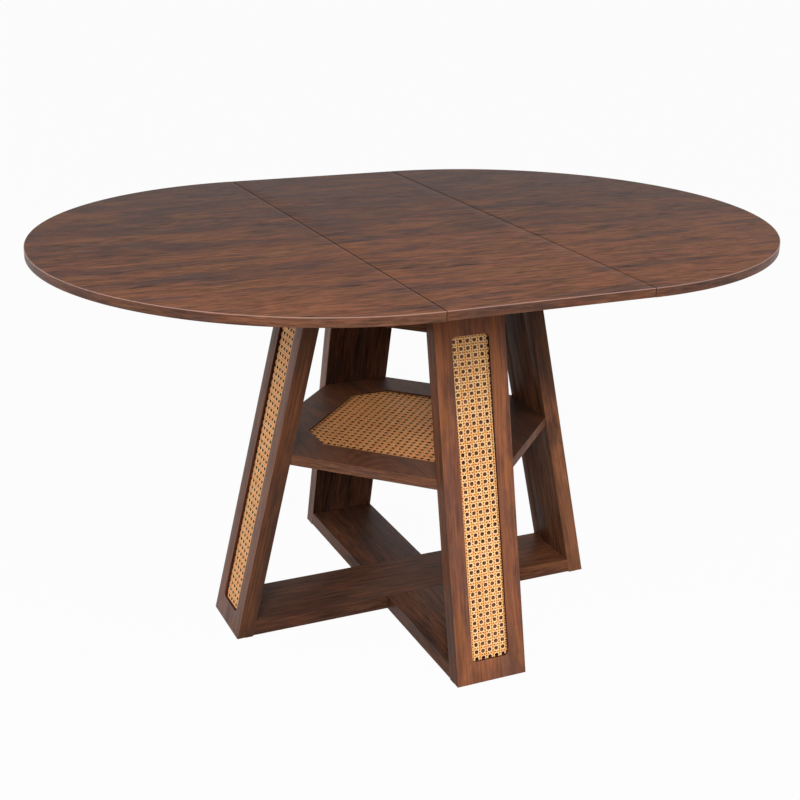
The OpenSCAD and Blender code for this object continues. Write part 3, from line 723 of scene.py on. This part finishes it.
def strands(heading, offsets, limits, perPitch, width, thick, height):
    # Lines along heading at the given offsets to its left, cut by the half-planes in limits, each a flat
    # tube with closed ends. Gives points, quads, end faces, UV and the number of each point's strand.
    d = np.array([math.cos(heading), math.sin(heading)])
    a = np.array([-d[1], d[0]])
    offsets = np.asarray(offsets)[:, None]
    normals, bounds = np.array([n for n, _ in limits]), np.array([b for _, b in limits])
    ahead, level = normals @ d, 1e-9
    room = bounds[None, :] - offsets * (normals @ a)[None, :]
    with np.errstate(divide="ignore", invalid="ignore"):
        cut = room / ahead[None, :]
    stop = np.where(ahead > level, cut, np.inf).min(1)
    start = np.where(ahead < -level, cut, -np.inf).max(1)
    outside = ((np.abs(ahead) <= level) & (room < 0)).any(1)
    keep = (stop - start > cane["shortest"]) & ~outside
    offsets, start, stop = offsets[keep], start[keep][:, None], stop[keep][:, None]
    steps = math.ceil((stop - start).max() / cane["pitch"] * perPitch)
    run = start + (stop - start) * np.linspace(0, 1, steps + 1)[None, :]
    x = offsets * a[0] + run * d[0]
    y = offsets * a[1] + run * d[1]
    z = height(x, y)
    count, m = len(offsets), len(section)
    px = x[..., None] + section[:, 0] * width * a[0]
    py = y[..., None] + section[:, 0] * width * a[1]
    pz = z[..., None] + section[:, 1] * thick
    points = np.stack([px, py, pz], -1).reshape(-1, 3)
    first = np.arange(count)[:, None, None] * (steps + 1) * m
    quads = (first + gridFaces(steps + 1, m)[None]).reshape(-1, 4)[:, ::-1]
    ring = np.arange(m)
    starts = first[:, 0, 0][:, None] + ring[None]
    ends = (first[:, 0, 0][:, None] + steps * m + ring[None])[:, ::-1]
    number = np.repeat(np.arange(count), (steps + 1) * m)
    apart = number * 0.37   # so that no two strands have the same fibres
    uv = np.stack([np.repeat(run[..., None], m, -1).ravel() + apart,
                   np.tile(np.arange(m) / (m - 1), count * (steps + 1))], 1)
    return points, quads, np.concatenate([starts, ends]), uv, number


def weave(name, families, place, node, seed, material):
    # Joins families of strands into one piece, placed by a 4 x 4 matrix. Each strand has its own tone.
    allPoints, allFaces, allUv, allTone, allCells, before = [], [], [], [], [], 0
    random = np.random.default_rng(seed)
    for points, quads, ends, uv, number, cells in families:
        allPoints.append(points)
        allCells.append(cells)
        allFaces += (quads + before).tolist() + (ends + before).tolist()
        allUv.append(uv)
        allTone.append(random.uniform(0, 1, number.max() + 1)[number])
        before += len(points)
    points = np.concatenate(allPoints)
    matrix = np.array(place)
    points = points @ matrix[:3, :3].T + matrix[:3, 3]
    made = piece(name, points, allFaces, "base", [material])
    setUv(made, "strand", np.concatenate(allUv))
    setUv(made, "cell", np.concatenate(allCells))
    made.data.attributes.new("tone", "FLOAT", "POINT").data.foreach_set("value", np.concatenate(allTone))
    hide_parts(node)


def evenPlaces(reach, phase, spacing):
    # Evenly spaced offsets that cover -reach to reach, one of them at phase
    low = math.ceil((-reach - phase) / spacing)
    high = math.floor((reach - phase) / spacing)
    return phase + spacing * np.arange(low, high + 1)


def caneFamilies(kind, limits, reach, perPitch, seed, skew=0.0, shift=(0.0, 0.0)):
    # Six families about a hole at shift: two along X, two along Y and the two diagonals. A strand's
    # height goes by where it is along the webbing's own two directions.
    random = np.random.default_rng(seed)
    p, half = cane["pitch"], kind["pair"] / 2
    sx, sy = shift
    ca, sa = math.cos(skew), math.sin(skew)

    def own(x, y):
        # Coordinates along the webbing's own two directions, from a hole's middle
        return ca * (x - sx) + sa * (y - sy), -sa * (x - sx) + ca * (y - sy)

    def family(heading, reach, phase, spacing, perPitch, width, height):
        places = evenPlaces(reach, phase, spacing)
        places = places + random.normal(0, kind["uneven"], len(places))
        made = strands(heading, places, limits, perPitch, width, kind["thick"], height)
        return made + (np.stack(own(made[0][:, 0], made[0][:, 1]), 1) / p,)

    alongX = -sa * sx + ca * sy
    alongY = ca * sx + sa * sy
    made = []
    for sign in (-1, 1):
        made.append(family(
            skew, reach, alongX + p / 2 + sign * half, p, perPitch, kind["width"],
            lambda x, y: -sign * kind["lift"] * pairBend(own(x, y)[0], kind["pair"])))
        made.append(family(
            skew + math.pi / 2, reach, -alongY - p / 2 - sign * half, p, perPitch, kind["width"],
            lambda x, y: sign * kind["lift"] * pairBend(own(x, y)[1], kind["pair"])))
    for sign in (-1, 1):
        heading = skew + sign * math.pi / 4
        phase = -math.sin(heading) * sx + math.cos(heading) * sy + p / 2 / math.sqrt(2)
        made.append(family(
            heading, reach * 1.5, phase, p / math.sqrt(2), perPitch * cane["diagonalSteps"], kind["diagonal"],
            lambda x, y: sign * kind["ride"] * np.cos(2 * math.pi * own(x, y)[0] / p)))
    return made


caneMaterial = caneFinish("caneStrands")
leftCaneMaterial = caneFinish("leftCaneStrands", **leftCaneLook)
shelfCaneMaterial = caneFinish("shelfCaneStrands", **shelfCaneLook)
halfLong = (windowHigh - windowLow) / 2 + cane["edgeIn"]
halfWide = window["width"] / 2 + cane["edgeIn"]
box = [((1, 0), halfWide), ((-1, 0), halfWide), ((0, 1), halfLong), ((0, -1), halfLong)]
caneLaid = {   # how each leg's webbing happened to be laid: turn, shift aside, shift up and bow
    "front": (0.0044, 0.0016, 0.003, 0.0022),
    "left": (-0.003, 0.0015, 0.006, -0.001),
    "right": (0.002, 0.0, 0.001, 0.001),
    "back": (-0.002, 0.0008, 0.004, -0.0012),
}


def legWebbing(side, angle):
    skew, aside, up, bow = caneLaid[side]
    kind, seed = cane["leg"], cane["seeds"][side]
    families = caneFamilies(kind, box, halfLong, cane["legSteps"], seed, skew, (aside, up))
    for points, *_ in families:   # sideways by the square of the distance from a third of the way up
        points[:, 0] -= bow * (points[:, 1] / halfLong + 1 / 3) ** 2
    outward = turned((math.cos(base["lean"]), 0, math.sin(base["lean"])), angle)
    across, along = turned((0, 1, 0), angle), turned(slope, angle)
    origin = turned((base["legSpan"] / 2, 0, 0), angle) + along * (windowLow + windowHigh) / 2 \
        - outward * (window["lip"] + kind["ride"] + kind["thick"] / 2)
    place = Matrix.Translation(origin) @ Matrix((across, along, outward)).transposed().to_4x4()
    weave(side + "LegWebbing", families, place, side + "_leg_cane", seed,
          leftCaneMaterial if side == "left" else caneMaterial)


for side, angle in turns.items():
    legWebbing(side, angle)
print("leg webbing made")

shelfHalf = innerFace(base["shelfTop"]) - base["border"] + cane["edgeIn"]
shelfReach = innerFace(base["shelfTop"]) + base["legWidth"] / 2 - base["border"] * math.sqrt(2) \
    + cane["edgeIn"] * math.sqrt(2)
octagonLimits = [((1, 0), shelfHalf), ((-1, 0), shelfHalf), ((0, 1), shelfHalf), ((0, -1), shelfHalf)] \
    + [((i, j), shelfReach) for i in (-1, 1) for j in (-1, 1)]
seeds = cane["seeds"]
families = caneFamilies(cane["shelf"], octagonLimits, shelfHalf, cane["shelfSteps"], seeds["shelf"],
                        math.pi / 4)
place = Matrix.Translation(
    (0, 0, base["shelfTop"] - shelf["lip"] - cane["shelf"]["ride"] - cane["shelf"]["thick"] / 2))
weave("shelfWebbingPairs", families[:4], place, "shelf_cane", seeds["shelf"], shelfCaneMaterial)
weave("shelfWebbingDiagonals", families[4:], place, "shelf_cane", seeds["shelfDiagonals"], shelfCaneMaterial)
print("shelf webbing made")


# The frame under the top, the runners and what is hidden below
quarters = {"front_left": -0.75, "front_right": -0.25, "back_left": 0.75, "back_right": 0.25}   # half turns
for number, (corner, turn) in enumerate(quarters.items()):
    outward = turned((1, 0, 0), turn * math.pi)
    wood = boardWood(corner + "ApronWood", turned(outward, math.pi / 2), (0, 0, 1), (0.5 * number, 0.2, 0),
                     **darkLook)
    easedBoard(corner.title().replace("_", "") + "Apron", corner + "_apron", "base", [wood])
easedBoard("shelfPanel", "shelf_panel", "base",
           [boardWood("shelfPanelWood", (0, 1, 0), (-1, 0, 0), (0.6, 0.3, 0.2), **liningLook)],
           width=easing["thinWidth"])
easedBoard("topPlate", "top_plate", "base",
           [boardWood("plateWood", (1, 0, 0), (0, 1, 0), (0.1, 0.8, 0.3), **darkLook)])
woodX = runnerWood("runnerWoodX", (1, 0, 0), (0, 1, 0))
woodY = runnerWood("runnerWoodY", (0, 1, 0), (-1, 0, 0))
bodyOf = {node: body for body, members in frame["record"]["behaviour"]["bodies"].items() for node in members}
for node in nodes:
    if node.endswith(("_runner", "_batten", "_battens")):
        easedBoard(node.replace("_", ""), node, bodyOf[node], [woodX])
    if node.endswith("_cleat"):
        easedBoard(node.replace("_", ""), node, bodyOf[node], [woodY])
# Beads, dowels, screws and glides stay as packed and only get their finish
beadWood = boardWood("beadWood", (0, 0, 1), (1, 0, 0), **liningLook)
plain = {"runner_wood": woodX, "screw_steel": speckleFinish("screwSteel", steelLook),
         "glide": speckleFinish("glidePlastic", glideLook)}
slots = {s["node"]: s["material_slot"] for s in frame["record"]["subparts"]}
for node, made in nodes.items():
    if slots[node] in plain and not made.hide_render:
        made.data.materials.clear()
        made.data.materials.append(beadWood if node.endswith("_bead") else plain[slots[node]])
print("frame, runners and fasteners finished")


# Floor, light and camera
stage = {
    "floor": colour(165, 165, 165),
    "floorSize": 60.0,
    "glow": 0.97,        # how much of the floor's look is plain white to the camera
    "worldFill": 0.02,
    "aim": (0, 0, 0.45),
    "lamps": {           # place, size, power, colour
        "low": ((-1.6, -2.78, 2.08), 1.4, 82.0, (1.0, 0.99, 0.98)),
        "key": ((-0.72, -2.2, 3.21), 1.6, 62.0, (1.0, 0.98, 0.96)),
        "right": ((2.23, -2.48, 1.8), 1.4, 30.0, (1.0, 1.0, 1.0)),
        "high": ((0.29, -1.66, 3.63), 1.6, 15.0, (1.0, 1.0, 1.0)),
        "left": ((-3.4, 0.1, 1.45), 1.4, 32.0, (1.0, 1.0, 1.0)),
        "back": ((-2.7, 2.6, 1.4), 1.4, 12.0, (1.0, 1.0, 1.0)),
    },
}


def whiteToCamera(f):
    # 1 for what the camera sees directly, in gloss or through glass
    rays = [f.node("ShaderNodeLightPath", {}, {}, out=name)
            for name in ("Is Camera Ray", "Is Glossy Ray", "Is Transmission Ray")]
    return (rays[0] + rays[1] + rays[2]).clamped()


def floor():
    f = newFinish("paleFloor")
    lit = f.node("ShaderNodeBsdfDiffuse", {}, {"Color": stage["floor"]})
    glow = f.node("ShaderNodeEmission", {}, {"Color": (1, 1, 1, 1), "Strength": 1.0})
    both = f.node("ShaderNodeMixShader", {}, {0: whiteToCamera(f) * stage["glow"], 1: lit, 2: glow})
    f.node("ShaderNodeOutputMaterial", {}, {"Surface": both})
    half = stage["floorSize"] / 2
    corners = [(-half, -half, 0), (half, -half, 0), (half, half, 0), (-half, half, 0)]
    mesh = bpy.data.meshes.new("floor")
    mesh.from_pydata(corners, [], [(0, 1, 2, 3)])
    mesh.materials.append(f.owner)
    made = placed("floor", mesh)


def world():
    sky = bpy.data.worlds.new("softRoom")
    bpy.context.scene.world = sky
    f = Finish(sky)
    strength = whiteToCamera(f) * (1.0 - stage["worldFill"]) + stage["worldFill"]
    light = f.node("ShaderNodeBackground", {}, {"Color": (1, 1, 1, 1), "Strength": strength})
    f.node("ShaderNodeOutputWorld", {}, {"Surface": light})


def lamp(name, place, size, power, tint):
    light = bpy.data.lights.new(name, "AREA")
    light.shape = "DISK"
    light.size = size
    light.energy = power
    light.color = tint
    made = placed(name, light)
    made.location = place
    made.rotation_euler = (Vector(stage["aim"]) - Vector(place)).to_track_quat("-Z", "Y").to_euler()


floor()
world()
for name, values in stage["lamps"].items():
    lamp(name, *values)

view = {   # the photograph's viewpoint
    "place": (-1.059346, -2.245141, 1.331133),
    "heading": math.radians(-24.844),
    "down": math.radians(20.268),
    "roll": math.radians(1.256),
    "lens": 60.81,       # in millimetres,
    "film": 36.0,        # as is the film's width
}


def camera():
    a, e, r = view["heading"], view["down"], view["roll"]
    forward = Vector((-math.sin(a) * math.cos(e), math.cos(a) * math.cos(e), -math.sin(e)))
    right = Vector((math.cos(a), math.sin(a), 0))
    up = right.cross(forward)
    right, up = right * math.cos(r) + up * math.sin(r), up * math.cos(r) - right * math.sin(r)
    lens = bpy.data.cameras.new("photoView")
    lens.sensor_width = view["film"]
    lens.lens = view["lens"]
    made = placed("photoView", lens)
    aimed = Matrix((right, up, -forward)).transposed().to_4x4()
    made.matrix_world = Matrix.Translation(view["place"]) @ aimed
    bpy.context.scene.camera = made


camera()
bpy.context.scene.view_settings.view_transform = "Standard"
print("stage, light and camera set")
